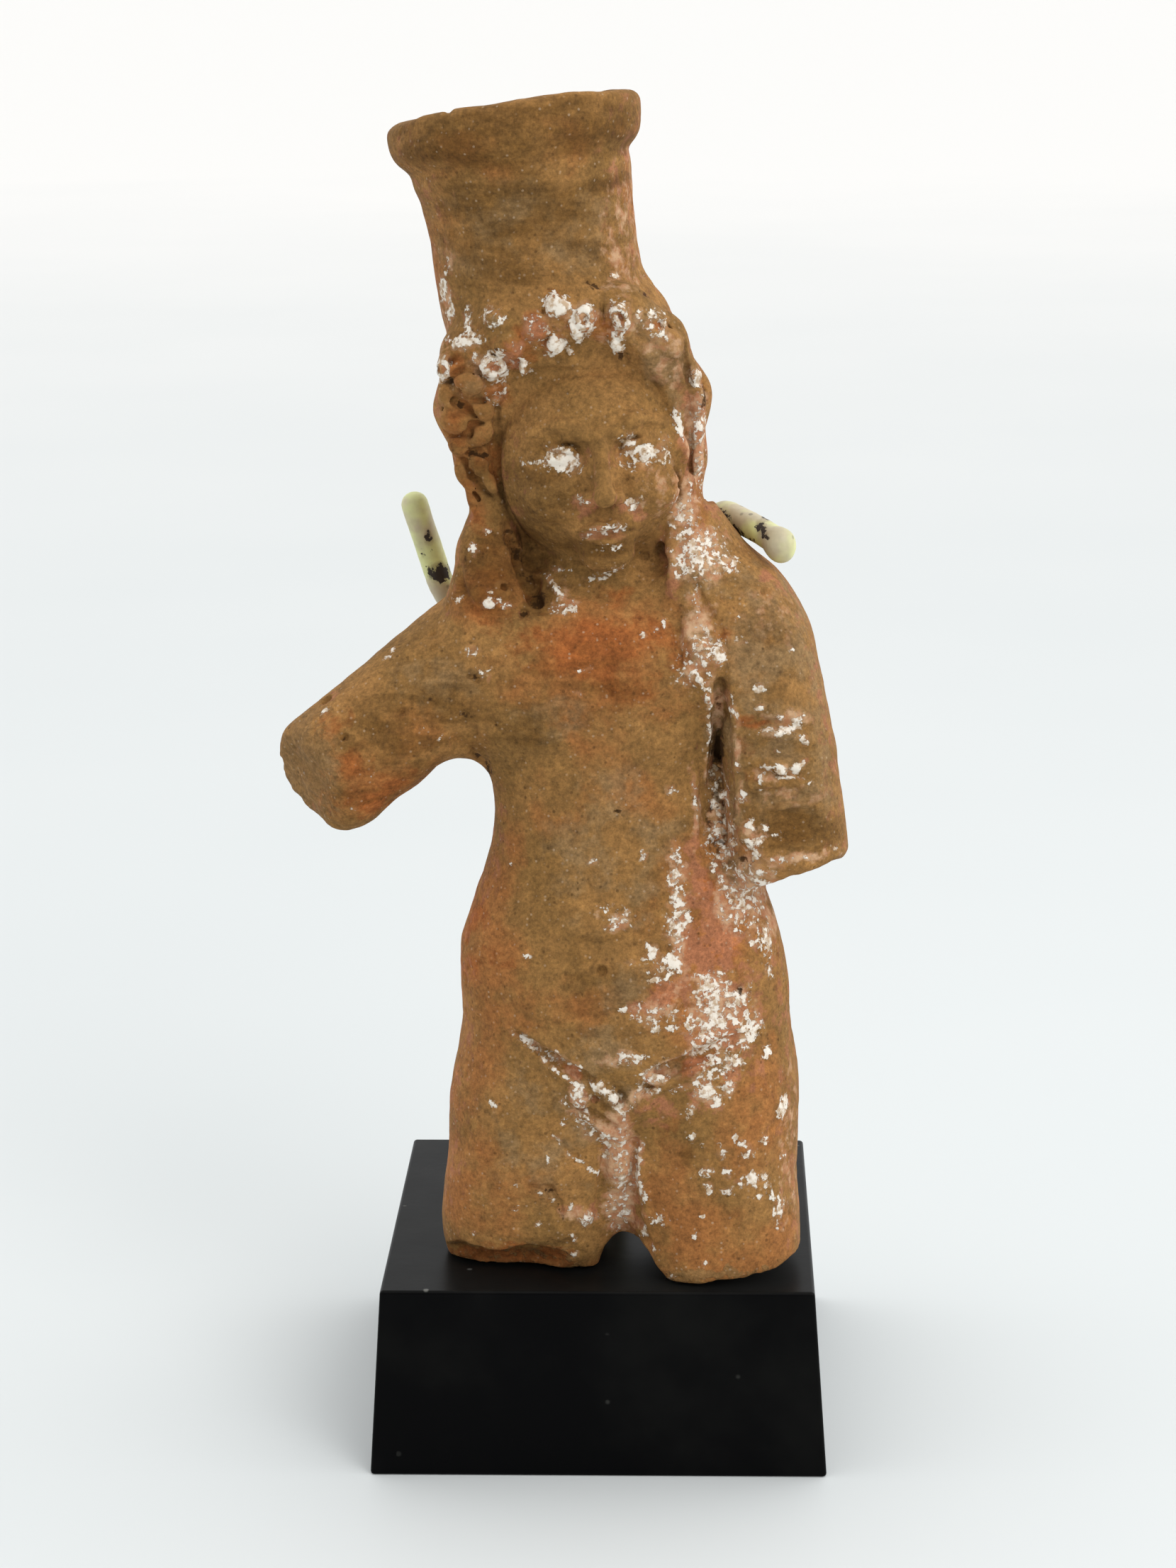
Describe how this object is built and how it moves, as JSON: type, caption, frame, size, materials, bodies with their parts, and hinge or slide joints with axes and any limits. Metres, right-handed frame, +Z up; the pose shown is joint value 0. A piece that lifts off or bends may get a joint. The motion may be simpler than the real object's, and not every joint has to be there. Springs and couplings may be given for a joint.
{
  "type": "terracotta youth figurine on stand",
  "caption": "Small fired-clay figure of a youth in a tall flared headdress, one arm and the lower legs broken off, held upright by a thin rod cradle on a tapered black block.",
  "frame": {"origin": "middle of the block's flat underside", "axes": "+Z up, the figure faces -Y, +X towards the figure's own left shoulder, the one under the mantle"},
  "size_m": [0.07, 0.0572, 0.1702],
  "materials": {
    "clay": "matt",
    "painted_rod": "satin",
    "lacquered_block": "satin"
  },
  "bodies": {
    "root": {"figurine": "clay", "cradle": "painted_rod", "base": "lacquered_block"}
  },
  "joints": []
}
